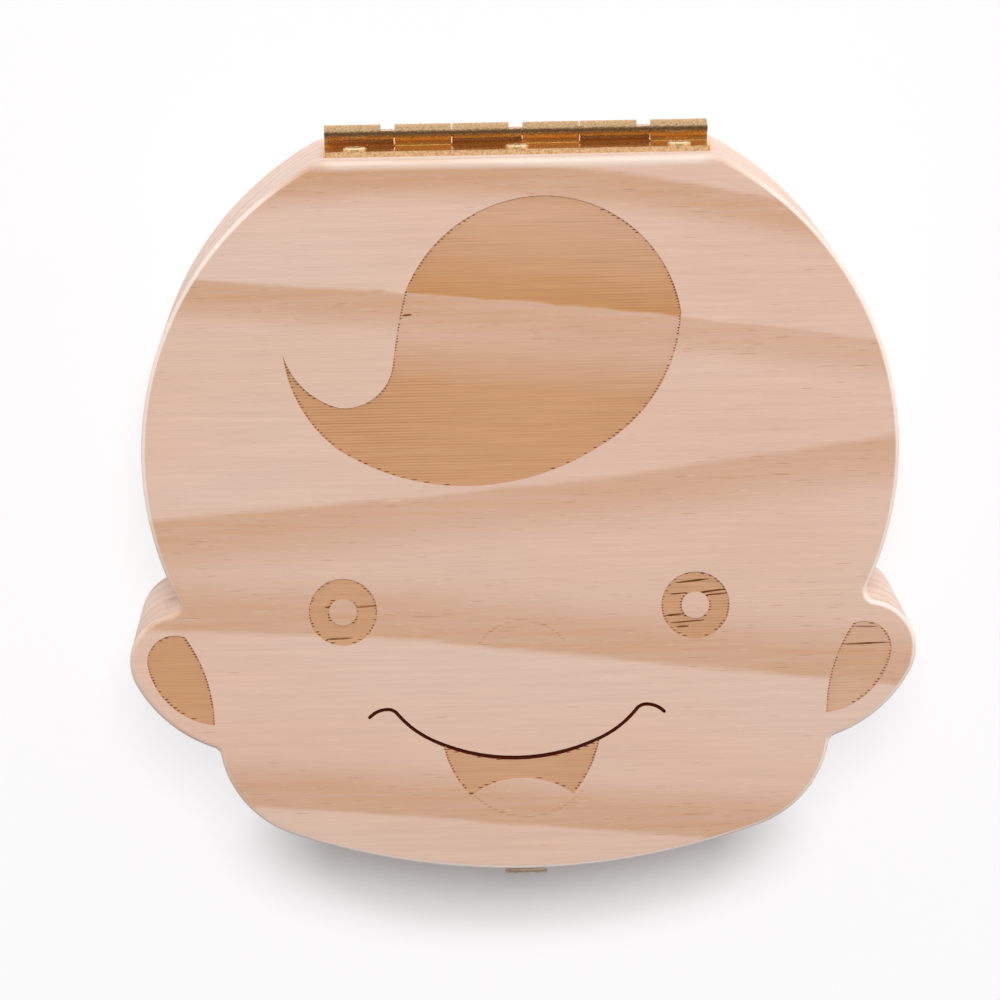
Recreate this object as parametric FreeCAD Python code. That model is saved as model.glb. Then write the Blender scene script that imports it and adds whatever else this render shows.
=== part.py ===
import FreeCAD, Part
import math
import os

# Wooden keepsake box for milk teeth: two head-shaped pine halves, a rolled hinge and a clasp.
# X runs from ear to ear, Y from the chin to the hinge, Z up from the underside of the base.
# The origin is on the underside, midway between chin and hinge wall. Sizes are in millimetres.

# Wooden halves
box_width = 120.0               # across the ears
box_length = 110.0              # from the chin to the hinge wall
base_height = 18.0
seam_gap = 0.3                  # between the two closed halves
lid_thickness = 11.7
rim_round = 0.8                 # eased upper edge of the lid
foot_round = 0.5                # eased lower edge of the base
overrun = 1.0                   # how far a cutting shape passes the face it opens
half_circle_share = 0.5         # bulge of a half circle, of its chord

# Head outline: rises are measured from the chin, insets from the widest point of the ears
chin_half = 35.9                # half the chord of the chin arc
chin_rise = 6.3                 # height of that arc
jaw_inset = 13.3                # notch between jaw and ear
jaw_rise = 20.0
lobe_inset = 0.9                # where the lower edge of the ear turns up
lobe_rise = 30.3
lobe_bulge = 1.6
ear_inset = 8.6                 # notch between ear and skull
ear_rise = 41.4
skull_bulge = 15.0              # height of the skull arc over its chord
hinge_flat = 59.6               # straight wall behind the hinge
notch_round = 1.5
corner_round = 5.0              # ends of the hinge wall

# Engraved face on the lid
engrave_depth = 0.2
face_shift = -0.6               # the engraving sits a little to the left
eye_spacing = 53.6
eye_rise = 41.3
eye_radius = 5.2
pupil_radius = 2.1              # island left standing in each eye
smile_shift = -0.6              # the smile sits further to the left again
smile_low = 17.9                # lowest point of the smile
bow_half = 12.8                 # half the chord of its middle arc
bow_rise = 2.9                  # height of that arc
cheek_half = 18.3               # where each side turns over into a small hook
cheek_rise = 25.2
hook_top_half = 19.7
hook_top_rise = 25.9
hook_end_half = 22.5
hook_end_rise = 24.7
smile_width = 0.55
bow_swell = 0.13                # the middle arc is that much wider at its lowest point
smile_depth = 0.9               # the smile is burnt deeper than the rest
mouth_half = 12.0
tongue_half = 7.9
tongue_drop = 5.9               # from the smile's lowest point to the corners of the tongue
tongue_bulge = 2.7
mouth_side_bulge = 0.65

# Curl of hair: x as a share of half the width, rise as a share of the length,
# and how far the edge to the next point bulges, as a share of its chord
curl_shares = (
    (-0.581, 0.736, 0.100), (-0.451, 0.605, 0.072), (-0.137, 0.550, 0.074),
    (0.208, 0.602, 0.130), (0.416, 0.786, 0.188), (0.067, 0.949, 0.150),
    (-0.273, 0.820, 0.018), (-0.307, 0.720, -0.205), (-0.443, 0.662, -0.131),
)
# Inner ear: inset as a share of ear_inset, rise as a share of ear_rise, bulge as above
inner_ear_shares = ((1.065, 0.915, 0.076), (1.540, 0.580, 0.167), (0.382, 0.809, 0.285))

# Pockets in the base
pocket_depth = 9.0
tooth_width = 9.5
tooth_height = 10.5
teeth_per_arch = 10
arch_half_width = 44.0          # ellipse through the middles of the pockets
arch_half_length = 39.5
arch_rise = 58.0                # middle of that ellipse, from the chin
arch_gap_angle = 11.0           # degrees left free at each end of an arch
curl_well_width = 34.0          # well for a curl of hair
curl_well_length = 16.0
curl_well_rise = 69.0
cord_well_radius = 9.0          # well for the cord stump
well_gap = 6.0                  # between the two wells
# Outline of one tooth, crown first: shares of its width and height, and bulges as above
tooth_shares = (
    (0.46, 0.30, 0.16), (0.00, 0.42, 0.16), (-0.46, 0.30, 0.06), (-0.40, -0.34, 0.50),
    (-0.10, -0.36, -0.55), (0.10, -0.36, 0.50), (0.40, -0.34, 0.06),
)

# Hinge
hinge_length = 58.0
hinge_shift = 0.3               # the hinge sits a little to the right
hinge_sheet = 0.8
barrel_radius = 1.45
barrel_gap = 1.2                # between the barrel and the wooden walls
hinge_play = 0.05               # between the pin and the bore of the rolled knuckles
knuckles_per_leaf = 3
knuckle_gap = 0.15              # between neighbouring knuckles
notch_width = 1.95              # at the right end of each base knuckle, where the pin shows
notch_depth = 0.85              # from the far side of the barrel
leaf_relief = 0.4               # between a leaf and the other leaf's knuckles
leaf_margin = 0.45              # between the nail heads and the far edge of a leaf
leaf_round = 0.7
tab_level = 0.1                 # between the level of the pin's middle and a tab
tab_bend = 0.3                  # inner radius where a tab turns out from its leaf
roll_slit = 0.35                # where the rolled sheet ends short of its tab
leaf_nail_inset = 4.65          # from the ends of the leaf
leaf_nail_gap = 1.4             # between the barrel and the nail heads
leaf_nail_head = 1.8
leaf_nail_radius = 0.6
leaf_nail_length = 8.0

# Clasp: plate and swinging tongue on the lid, catch with a nub on the base
clasp_sheet = 0.5
clasp_width = 6.4               # of the tongue
clasp_barrel = 1.2
clasp_bore = 0.65
clasp_play = 0.05
clasp_gap = 0.2                 # between the small barrel and the wall
clasp_axis_rise = 4.9           # from the lid's lower face to the clasp pin
clasp_side_gap = 0.15           # between neighbouring clasp knuckles
clasp_knuckle = 1.6             # width of each outer knuckle
plate_width = 6.4
plate_reach = 5.6               # from the clasp pin to the upper edge of its plate
plate_round = 1.4
tongue_top = 1.7                # from the clasp pin down to the hollow part of the tongue
tongue_length = 12.0            # of that hollow part
tongue_out = 3.2                # from the wall to the front of the tongue
tongue_clear = 0.3              # between the tongue and the plates it covers
tongue_corner = 1.2
pull_radius = 0.55              # bead along the tongue's lower edge
catch_height = 9.5
catch_foot = 4.8                # from the underside of the base
nub_height = 4.0
nub_clear = 0.4                 # between the nub and the front of the tongue
nub_side_clear = 0.3
nub_top = 1.0                   # from the nub to the catch's upper edge
nub_round = 0.7
clasp_nail_inset = 1.7          # from the sides of the plates
clasp_nail_reach = 3.6          # from the clasp pin
catch_nail_rise = 2.4           # from the catch's lower edge
clasp_nail_head = 1.1
clasp_nail_radius = 0.45
clasp_nail_length = 5.5

# Nails
nail_clearance = 0.05           # between a nail and the holes it passes through
head_rim_share = 0.16           # of the head's radius: height of its rim
head_dome_share = 0.1           # of the head's radius: height of its dome
head_top_share = 0.78           # flat top of the dome

V = FreeCAD.Vector
across = V(1, 0, 0)
away = V(0, 1, 0)
up = V(0, 0, 1)
half_width = box_width / 2
chin_wall = -box_length / 2
hinge_wall = box_length / 2
lid_floor = base_height + seam_gap
lid_top = lid_floor + lid_thickness
hinge_axis_out = barrel_radius + barrel_gap
hinge_axis_z = base_height + seam_gap / 2
hinge_bore = barrel_radius - hinge_sheet
knuckle_pitch = hinge_length / knuckles_per_leaf
knuckle_width = (knuckle_pitch - 2 * knuckle_gap - notch_width) / 2
hinge_start = hinge_shift - hinge_length / 2
hinge_end = hinge_shift + hinge_length / 2
leaf_start = barrel_radius + leaf_relief
tab_rise = tab_level + hinge_sheet
leaf_nail_reach = barrel_radius + leaf_nail_gap + leaf_nail_head
leaf_reach = leaf_nail_reach + leaf_nail_head + leaf_margin
leaf_nail_spacing = hinge_length / 2 - leaf_nail_inset
leaf_nail_places = [hinge_shift - leaf_nail_spacing, hinge_shift, hinge_shift + leaf_nail_spacing]
clasp_axis_out = clasp_barrel + clasp_gap
clasp_axis_z = lid_floor + clasp_axis_rise
clasp_nail_spacing = plate_width / 2 - clasp_nail_inset
clasp_nail_places = [-clasp_nail_spacing, clasp_nail_spacing]
nub_width = clasp_width - 2 * (clasp_sheet + nub_side_clear)
nub_out = tongue_out - clasp_sheet - nub_clear
tongue_rise = smile_low - tongue_drop
cord_well_rise = curl_well_rise - curl_well_length / 2 - well_gap - cord_well_radius
base_leaf_nail_z = hinge_axis_z - leaf_nail_reach
lid_leaf_nail_z = hinge_axis_z + leaf_nail_reach
clasp_nail_z = clasp_axis_z + clasp_nail_reach
catch_nail_z = catch_foot + catch_nail_rise


def on_plan(x, rise, z=0.0):
    return V(x, chin_wall + rise, z)


def bearing(start, end):
    return math.atan2(end.y - start.y, end.x - start.x)


def bulged_edge(start, end, bulge):
    # straight, or an arc that stands out to the right of its direction of travel
    if bulge == 0:
        return Part.LineSegment(start, end).toShape()
    run = end - start
    side = V(run.y, -run.x, 0).normalize()
    return Part.Arc(start, (start + end) * 0.5 + side * bulge, end).toShape()


def leaving_heading(start, end, bulge):
    return bearing(start, end) + 2 * math.atan(2 * bulge / start.distanceToPoint(end))


def smooth_bulge(start, end, heading):
    # bulge of the arc that starts in the given heading
    turn = bearing(start, end) - heading
    return start.distanceToPoint(end) / 2 * math.tan(turn / 2)


def share_loop(points):
    # closed outline of (point, bulge share of the chord to the next point), counterclockwise
    edges = []
    for (start, share), (end, _) in zip(points, points[1:] + points[:1]):
        edges.append(bulged_edge(start, end, share * start.distanceToPoint(end)))
    return Part.Face(Part.Wire(edges))


def mirrored(shape):
    return shape.mirror(V(0, 0, 0), across)


def head_corners():
    jaw_notch = on_plan(half_width - jaw_inset, jaw_rise)
    ear_notch = on_plan(half_width - ear_inset, ear_rise)
    flat_end = on_plan(hinge_flat / 2, box_length)
    return jaw_notch, ear_notch, flat_end


def head_face():
    jaw_notch, ear_notch, flat_end = head_corners()
    chin_end = on_plan(chin_half, chin_rise)
    lobe = on_plan(half_width - lobe_inset, lobe_rise)
    chin_heading = 2 * math.atan(chin_rise / chin_half)
    lobe_heading = leaving_heading(jaw_notch, lobe, lobe_bulge)
    side = [
        bulged_edge(chin_end, jaw_notch, smooth_bulge(chin_end, jaw_notch, chin_heading)),
        bulged_edge(jaw_notch, lobe, lobe_bulge),
        bulged_edge(lobe, ear_notch, smooth_bulge(lobe, ear_notch, lobe_heading)),
        bulged_edge(ear_notch, flat_end, skull_bulge),
    ]
    chin = Part.Arc(on_plan(-chin_half, chin_rise), on_plan(0, 0), chin_end).toShape()
    flat = bulged_edge(flat_end, V(-flat_end.x, flat_end.y, 0), 0)
    other_side = [mirrored(edge) for edge in side]
    return Part.Face(Part.Wire(Part.__sortEdges__([chin, flat] + side + other_side)))


def upright_edges(shape, corners):
    found = []
    for edge in shape.Edges:
        ends = [vertex.Point for vertex in edge.Vertexes]
        if len(ends) != 2 or not (ends[1] - ends[0]).cross(up).Length < Part.Precision.confusion():
            continue
        for corner in corners:
            spot = V(abs(ends[0].x), ends[0].y, 0)
            if spot.distanceToPoint(corner) < notch_round / 2:
                found.append(edge)
    return found


def level_edges(shape, z):
    def lies_at(edge):
        box = edge.BoundBox
        return max(abs(box.ZMin - z), abs(box.ZMax - z)) < Part.Precision.approximation()
    return [edge for edge in shape.Edges if lies_at(edge)]


def head_block(z, height):
    block = head_face().extrude(up * height)
    jaw_notch, ear_notch, flat_end = head_corners()
    block = block.makeFillet(notch_round, upright_edges(block, [jaw_notch, ear_notch]))
    block = block.makeFillet(corner_round, upright_edges(block, [flat_end]))
    block.translate(up * z)
    return block


def bar(x_start, x_end, y, z, radius):
    return Part.makeCylinder(radius, x_end - x_start, V(x_start, y, z), across)


def wall_box(wall, x_start, x_end, out_start, out_end, z_start, z_end):
    # box on the hinge wall or on the chin wall, outward distances counted from that wall
    if wall > 0:
        corner = V(x_start, wall + out_start, z_start)
    else:
        corner = V(x_start, wall - out_end, z_start)
    return Part.makeBox(x_end - x_start, out_end - out_start, z_end - z_start, corner)


def wall_cylinder(wall, x, z, radius, out_start, out_end):
    outward = away if wall > 0 else away * -1
    foot = V(x, wall, z) + outward * out_start
    return Part.makeCylinder(radius, out_end - out_start, foot, outward)


def round_plate(plate, radius):
    # rounds the corners of a plate that lies on a wall
    edges = []
    for edge in plate.Edges:
        ends = [vertex.Point for vertex in edge.Vertexes]
        if (ends[1] - ends[0]).cross(away).Length < Part.Precision.confusion():
            edges.append(edge)
    return plate.makeFillet(radius, edges)


def nail(wall, x, z, sheet, head, radius, length):
    outward = away if wall > 0 else away * -1
    rim = head * head_rim_share
    seat = V(x, wall, z) + outward * sheet
    top, rise = head * head_top_share, head * head_dome_share
    dome = Part.makeCone(head, top, rise, seat + outward * rim, outward)
    shank = Part.makeCylinder(radius, length, seat, outward * -1)
    return shank.fuse([Part.makeCylinder(head, rim, seat, outward), dome]).removeSplitter()


def nail_hole(wall, x, z, sheet, radius, length):
    return wall_cylinder(wall, x, z, radius + nail_clearance, sheet - length - overrun, sheet + overrun)


def leaf_nail_holes(z):
    return [nail_hole(hinge_wall, x, z, hinge_sheet, leaf_nail_radius, leaf_nail_length)
            for x in leaf_nail_places]


def clasp_nail_holes(z):
    return [nail_hole(chin_wall, x, z, clasp_sheet, clasp_nail_radius, clasp_nail_length)
            for x in clasp_nail_places]


def engraving(face, depth):
    face.translate(V(face_shift, 0, lid_top - depth))
    return face.extrude(up * (depth + overrun))


def curl_cut():
    points = [(on_plan(x * half_width, y * box_length), bulge) for x, y, bulge in curl_shares]
    return engraving(share_loop(points), engrave_depth)


def inner_ear_cuts():
    points = []
    for inset, rise, bulge in inner_ear_shares:
        points.append((on_plan(half_width - inset * ear_inset, rise * ear_rise), bulge))
    ears = [share_loop(points), mirrored(share_loop(points))]
    return [engraving(ear, engrave_depth) for ear in ears]


def eye_cuts():
    cuts = []
    for x in (-eye_spacing / 2, eye_spacing / 2):
        foot = on_plan(x + face_shift, eye_rise, lid_top - engrave_depth)
        height = engrave_depth + overrun
        pupil = Part.makeCylinder(pupil_radius, height, foot)
        cuts.append(Part.makeCylinder(eye_radius, height, foot).cut(pupil))
    return cuts


def ribbon_face(points, bulges, swells, width):
    # strip along arcs that run smoothly into each other, with round ends; where an arc swells,
    # its right side stands out further in the middle
    def offset_arc(start, end, bulge, end_out, apex_out):
        run = end - start
        side = V(run.y, -run.x, 0).normalize()
        apex = (start + end) * 0.5 + side * bulge
        radius = (run.Length ** 2 / 4 + bulge ** 2) / (2 * bulge)
        centre = apex - side * radius
        outs = ((start, end_out), (apex, apex_out), (end, end_out))
        return [centre + (point - centre) * ((radius + out) / radius) for point, out in outs]

    half = width / 2
    spans = list(zip(points, points[1:], bulges))
    right = [offset_arc(*span, half, half + swell) for span, swell in zip(spans, swells)]
    left = [offset_arc(*span, -half, -half)[::-1] for span in reversed(spans)]
    edges = []
    for side, other in ((right, left), (left, right)):
        edges += [Part.Arc(*arc).toShape() for arc in side]
        tip, far_tip = side[-1][2], other[0][0]
        onward = V(far_tip.y - tip.y, tip.x - far_tip.x, 0) * 0.5
        edges.append(Part.Arc(tip, (tip + far_tip) * 0.5 + onward, far_tip).toShape())
    return Part.Face(Part.Wire(edges))


def smile_cut():
    # a middle arc, then on each side one arc up the cheek and two that turn over into the hook
    stations = [
        (bow_half, smile_low + bow_rise), (cheek_half, cheek_rise),
        (hook_top_half, hook_top_rise), (hook_end_half, hook_end_rise),
    ]
    right = [on_plan(x, rise) for x, rise in stations]
    left = [on_plan(-x, rise) for x, rise in reversed(stations)]
    heading = leaving_heading(left[-1], right[0], bow_rise)
    bulges = []
    for start, end in zip(right, right[1:]):
        bulges.append(smooth_bulge(start, end, heading))
        heading = leaving_heading(start, end, bulges[-1])
    even = [0] * len(bulges)
    swells = even + [bow_swell] + even
    smile = ribbon_face(left + right, bulges[::-1] + [bow_rise] + bulges, swells, smile_width)
    smile.translate(V(smile_shift, 0, 0))
    return engraving(smile, smile_depth)


def mouth_cut():
    # from the middle arc of the smile down to the upper edge of the tongue
    radius = (bow_half ** 2 + bow_rise ** 2) / (2 * bow_rise)
    corners = []
    for x in (-mouth_half, mouth_half):
        corner_rise = smile_low + radius - math.sqrt(radius ** 2 - (x - smile_shift) ** 2)
        corners.append(on_plan(x, corner_rise))
    left, right = corners
    low_left, low_right = on_plan(-tongue_half, tongue_rise), on_plan(tongue_half, tongue_rise)
    edges = [
        bulged_edge(left, low_left, mouth_side_bulge),
        bulged_edge(low_left, low_right, -tongue_bulge),
        bulged_edge(low_right, right, mouth_side_bulge),
        Part.Arc(right, on_plan(smile_shift, smile_low), left).toShape(),
    ]
    return engraving(Part.Face(Part.Wire(edges)), engrave_depth)


def make_lid_board():
    board = head_block(lid_floor, lid_thickness)
    board = board.makeFillet(rim_round, level_edges(board, lid_top))
    cuts = [curl_cut(), mouth_cut(), smile_cut()] + inner_ear_cuts() + eye_cuts()
    cuts += leaf_nail_holes(lid_leaf_nail_z) + clasp_nail_holes(clasp_nail_z)
    return board.cut(cuts)


def tooth_places():
    # middle of each pocket and the direction its roots point to, away from the arch's middle
    sweep = (180 - 2 * arch_gap_angle) / (teeth_per_arch - 1)
    places = []
    for arch_start in (0, 180):
        for count in range(teeth_per_arch):
            angle = math.radians(arch_start + arch_gap_angle + count * sweep)
            x, y = math.cos(angle), math.sin(angle)
            middle = on_plan(arch_half_width * x, arch_rise + arch_half_length * y)
            normal = math.atan2(y / arch_half_length, x / arch_half_width)
            places.append((middle, math.degrees(normal)))
    return places


def pocket_cut(face):
    face.translate(up * (base_height - pocket_depth))
    return face.extrude(up * (pocket_depth + overrun))


def tooth_cuts():
    cuts = []
    outline = [(V(x * tooth_width, y * tooth_height, 0), bulge) for x, y, bulge in tooth_shares]
    for middle, direction in tooth_places():
        tooth = share_loop(outline)
        tooth.rotate(V(0, 0, 0), up, direction + 90)
        tooth.translate(middle)
        cuts.append(pocket_cut(tooth))
    return cuts


def well_cuts():
    reach = (curl_well_width - curl_well_length) / 2
    end = curl_well_length / 2
    low, high = curl_well_rise - end, curl_well_rise + end
    corners = [
        (on_plan(-reach, low), 0), (on_plan(reach, low), half_circle_share),
        (on_plan(reach, high), 0), (on_plan(-reach, high), half_circle_share),
    ]
    foot = on_plan(0, cord_well_rise, base_height - pocket_depth)
    cord_well = Part.makeCylinder(cord_well_radius, pocket_depth + overrun, foot)
    return [pocket_cut(share_loop(corners)), cord_well]


def make_base_block():
    block = head_block(0, base_height)
    block = block.makeFillet(foot_round, level_edges(block, 0))
    cuts = tooth_cuts() + well_cuts()
    cuts += leaf_nail_holes(base_leaf_nail_z) + clasp_nail_holes(catch_nail_z)
    return block.cut(cuts)


def knuckle_spans(on_lid):
    spans = []
    for count in range(knuckles_per_leaf):
        start = hinge_start + count * knuckle_pitch
        end = start + knuckle_width + notch_width
        if on_lid:
            start = end + knuckle_gap
            end = start + knuckle_width
        spans.append((start, end))
    return spans


def leaf_tab(x_start, x_end):
    # a leg of the leaf that comes down to the level of the pin and turns out to the barrel there
    leg_top = leaf_start + tab_bend
    leg = wall_box(hinge_wall, x_start, x_end, 0, hinge_sheet,
                   hinge_axis_z + tab_level, hinge_axis_z + leg_top)
    reach = wall_box(hinge_wall, x_start, x_end, 0, hinge_axis_out,
                     hinge_axis_z + tab_level, hinge_axis_z + tab_rise)
    tab = leg.fuse(reach).removeSplitter()
    bend = V((x_start + x_end) / 2, hinge_wall + hinge_sheet, hinge_axis_z + tab_rise)
    inner = [edge for edge in tab.Edges if edge.CenterOfMass.distanceToPoint(bend) < tab_bend / 2]
    return tab.makeFillet(tab_bend, inner)


def roll_end(x_start, x_end):
    # slit under a tab, where the rolled sheet ends
    return wall_box(hinge_wall, x_start, x_end, hinge_sheet, hinge_axis_out,
                    hinge_axis_z + tab_level - roll_slit, hinge_axis_z + tab_level)


def knuckle_notch(x_end):
    out_start = hinge_axis_out + barrel_radius - notch_depth
    reach = barrel_radius + overrun
    return wall_box(hinge_wall, x_end - notch_width, x_end, out_start, hinge_axis_out + reach,
                    hinge_axis_z - reach, hinge_axis_z + reach)


def make_hinge_leaf(on_lid):
    # a sheet on the hinge wall whose tabs lead out to the pin and are rolled round it;
    # the lower leaf is made like the upper one and then turned upside down
    axis_y = hinge_wall + hinge_axis_out
    low, high = hinge_axis_z + leaf_start, hinge_axis_z + leaf_reach
    leaf = wall_box(hinge_wall, hinge_start, hinge_end, 0, hinge_sheet, low, high)
    leaf = round_plate(leaf, leaf_round)
    side_gap = knuckle_gap / 2
    tabs, cuts = [], []
    for x_start, x_end in knuckle_spans(on_lid):
        tabs.append(bar(x_start, x_end, axis_y, hinge_axis_z, barrel_radius))
        tabs.append(leaf_tab(x_start, x_end))
        cuts.append(bar(x_start - side_gap, x_end + side_gap, axis_y, hinge_axis_z, hinge_bore))
        cuts.append(roll_end(x_start, x_end))
        if not on_lid:
            cuts.append(knuckle_notch(x_end))
    leaf = leaf.fuse(tabs).cut(cuts)
    if on_lid:
        return leaf.cut(leaf_nail_holes(lid_leaf_nail_z)).removeSplitter()
    leaf = leaf.mirror(V(0, 0, hinge_axis_z), up)
    return leaf.cut(leaf_nail_holes(base_leaf_nail_z)).removeSplitter()


def make_hinge_pin():
    radius = hinge_bore - hinge_play
    return bar(hinge_start, hinge_end, hinge_wall + hinge_axis_out, hinge_axis_z, radius)


def make_leaf_nails(z):
    return Part.makeCompound([
        nail(hinge_wall, x, z, hinge_sheet, leaf_nail_head, leaf_nail_radius, leaf_nail_length)
        for x in leaf_nail_places])


def clasp_bar(x_start, x_end, radius):
    return bar(x_start, x_end, chin_wall - clasp_axis_out, clasp_axis_z, radius)


def make_clasp_plate():
    end = plate_width / 2
    start = clasp_axis_z + clasp_barrel + clasp_side_gap
    plate = wall_box(chin_wall, -end, end, 0, clasp_sheet, start, clasp_axis_z + plate_reach)
    plate = round_plate(plate, plate_round)
    outer = clasp_width / 2
    tabs, cuts = [], []
    for x_start in (-outer, outer - clasp_knuckle):
        x_end = x_start + clasp_knuckle
        tabs.append(clasp_bar(x_start, x_end, clasp_barrel))
        tabs.append(wall_box(chin_wall, x_start, x_end, 0, clasp_sheet, clasp_axis_z, start + clasp_sheet))
        cuts.append(clasp_bar(x_start - clasp_side_gap, x_end + clasp_side_gap, clasp_bore))
    return plate.fuse(tabs).cut(cuts + clasp_nail_holes(clasp_nail_z)).removeSplitter()


def make_clasp_pin():
    return clasp_bar(-clasp_width / 2, clasp_width / 2, clasp_bore - clasp_play)


def hollow_tongue(side, out, corner, top, bottom):
    # upright block with its two outer edges rounded
    block = wall_box(chin_wall, -side, side, clasp_sheet + tongue_clear, out, bottom, top)
    outer_edges = []
    for edge in block.Edges:
        box = edge.BoundBox
        if box.ZLength > clasp_sheet and box.YMin < chin_wall - out / 2:
            outer_edges.append(edge)
    return block.makeFillet(corner, outer_edges)


def make_clasp_tongue():
    # a pressed channel, closed in front and on top, that hangs over the nub from its own knuckle
    side = clasp_width / 2
    top = clasp_axis_z - tongue_top
    bottom = top - tongue_length
    shell = hollow_tongue(side, tongue_out, tongue_corner, top, bottom)
    hollow = hollow_tongue(side - clasp_sheet, tongue_out - clasp_sheet, tongue_corner - clasp_sheet,
                           top - clasp_sheet, bottom - overrun)
    back = wall_box(chin_wall, clasp_sheet - side, side - clasp_sheet, 0, tongue_corner,
                    bottom - overrun, top - clasp_sheet)
    middle = side - clasp_knuckle - clasp_side_gap
    strap_out = clasp_axis_out + clasp_barrel
    strap = wall_box(chin_wall, -middle, middle, strap_out - clasp_sheet, strap_out,
                     top - clasp_sheet, clasp_axis_z)
    reach = side - tongue_corner
    pull = bar(-reach, reach, chin_wall - tongue_out + clasp_sheet / 2, bottom, pull_radius)
    tongue = shell.cut([hollow, back]).fuse([strap, pull, clasp_bar(-middle, middle, clasp_barrel)])
    return tongue.cut(clasp_bar(-side, side, clasp_bore)).removeSplitter()


def make_catch_plate():
    end = plate_width / 2
    top = catch_foot + catch_height
    plate = round_plate(wall_box(chin_wall, -end, end, 0, clasp_sheet, catch_foot, top), plate_round)
    nub_end = top - nub_top
    nub = wall_box(chin_wall, -nub_width / 2, nub_width / 2, 0, nub_out, nub_end - nub_height, nub_end)
    outer_edges = [edge for edge in nub.Edges if edge.BoundBox.YMin < chin_wall - nub_out / 2]
    nub = nub.makeFillet(nub_round, outer_edges)
    return plate.fuse(nub).cut(clasp_nail_holes(catch_nail_z)).removeSplitter()


def make_clasp_nails(z):
    return Part.makeCompound([
        nail(chin_wall, x, z, clasp_sheet, clasp_nail_head, clasp_nail_radius, clasp_nail_length)
        for x in clasp_nail_places])


pieces = {
    "base_block": make_base_block(),
    "lid_board": make_lid_board(),
    "base_hinge_leaf": make_hinge_leaf(False),
    "lid_hinge_leaf": make_hinge_leaf(True),
    "hinge_pin": make_hinge_pin(),
    "base_leaf_nails": make_leaf_nails(base_leaf_nail_z),
    "lid_leaf_nails": make_leaf_nails(lid_leaf_nail_z),
    "clasp_plate": make_clasp_plate(),
    "clasp_tongue": make_clasp_tongue(),
    "clasp_pin": make_clasp_pin(),
    "clasp_plate_nails": make_clasp_nails(clasp_nail_z),
    "catch_plate": make_catch_plate(),
    "catch_plate_nails": make_clasp_nails(catch_nail_z),
}

os.makedirs("parts", exist_ok=True)
for name, shape in pieces.items():
    shape.exportStep("parts/" + name + ".step")
    print(name, len(shape.Solids), "solids", round(shape.Volume, 2), "mm3", shape.isValid())
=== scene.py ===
import math
import bpy
import numpy as np
from mathutils import Matrix, Vector


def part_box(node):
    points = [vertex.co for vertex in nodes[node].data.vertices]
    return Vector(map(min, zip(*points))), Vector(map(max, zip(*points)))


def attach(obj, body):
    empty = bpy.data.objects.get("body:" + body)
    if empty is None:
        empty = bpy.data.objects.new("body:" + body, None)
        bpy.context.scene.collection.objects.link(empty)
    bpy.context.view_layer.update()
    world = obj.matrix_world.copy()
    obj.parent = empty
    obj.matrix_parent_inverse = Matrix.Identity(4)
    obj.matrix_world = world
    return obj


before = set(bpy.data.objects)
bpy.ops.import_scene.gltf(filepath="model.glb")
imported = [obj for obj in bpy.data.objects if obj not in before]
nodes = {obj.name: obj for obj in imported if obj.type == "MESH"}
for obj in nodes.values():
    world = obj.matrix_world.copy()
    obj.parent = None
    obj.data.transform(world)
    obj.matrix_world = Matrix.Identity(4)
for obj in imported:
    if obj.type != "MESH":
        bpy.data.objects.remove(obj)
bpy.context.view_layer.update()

mm = 0.001
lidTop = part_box("lid_board")[1][2] / mm
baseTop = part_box("base_block")[1][2] / mm
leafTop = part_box("lid_hinge_leaf")[1][2] / mm
calc, ramp, mix = "ShaderNodeMath", "ShaderNodeMapRange", "ShaderNodeMix"
print("frame loaded:", len(nodes), "nodes")


# small tools

def hexColor(text):
    # sRGB hex to linear rgba, by the sRGB curve
    srgb = np.array([int(text[at:at + 2], 16) for at in (1, 3, 5)]) / 255
    linear = np.where(srgb <= 0.04045, srgb / 12.92, ((srgb + 0.055) / 1.055) ** 2.4)
    return (*linear.tolist(), 1.0)


def addNode(tree, kind, inputs=None, **settings):
    # one node with its settings; an input is a value, a socket, or a node that gives its first output
    made = tree.nodes.new(kind)
    for key, value in settings.items():
        setattr(made, key, value)
    for key, value in (inputs or {}).items():
        if isinstance(value, bpy.types.Node):
            value = value.outputs[0]
        if isinstance(value, bpy.types.NodeSocket):
            tree.links.new(value, made.inputs[key])
        else:
            made.inputs[key].default_value = value
    return made


def layTints(tree, color, layers):
    # lays tints over a colour, each where its mask is one
    for mask, tint in layers:
        tint = hexColor(tint) if isinstance(tint, str) else tint
        color = addNode(tree, mix, {0: mask, 6: color, 7: tint}, data_type="RGBA").outputs[2]
    return color


grainRough = 0.55              # how much the finer steps of the noise count


def grainNoise(tree, place, layers):
    # noise for every layer, its cells stretched along the grain: length by width in mm, shift, detail
    made = {}
    for name, (length, width, shift, detail) in layers.items():
        cells = addNode(tree, "ShaderNodeMapping", {
            0: place, 1: (shift, shift, shift), 3: (1 / length, 1 / width, 1 / width)})
        made[name] = addNode(tree, "ShaderNodeTexNoise", {
            "Vector": cells, "Scale": 1.0, "Detail": detail, "Roughness": grainRough}).outputs[0]
    return made


def newMaterial(name):
    material = bpy.data.materials.new(name)
    material.use_nodes = True
    shader = next(item for item in material.node_tree.nodes if item.type == "BSDF_PRINCIPLED")
    return material, material.node_tree, shader


def dress(nodeNames, material):
    for name in nodeNames:
        nodes[name].data.materials.clear()
        nodes[name].data.materials.append(material)


def addPiece(name, points, faces, material, body):
    # points in millimetres, faces as rows of indices
    data = bpy.data.meshes.new(name)
    data.from_pydata((np.asarray(points) * mm).tolist(), [], np.asarray(faces).tolist())
    data.materials.append(material)
    piece = bpy.data.objects.new(name, data)
    bpy.context.scene.collection.objects.link(piece)
    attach(piece, body)


# pine boards: solid wood, so every face shows the same rings

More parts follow.
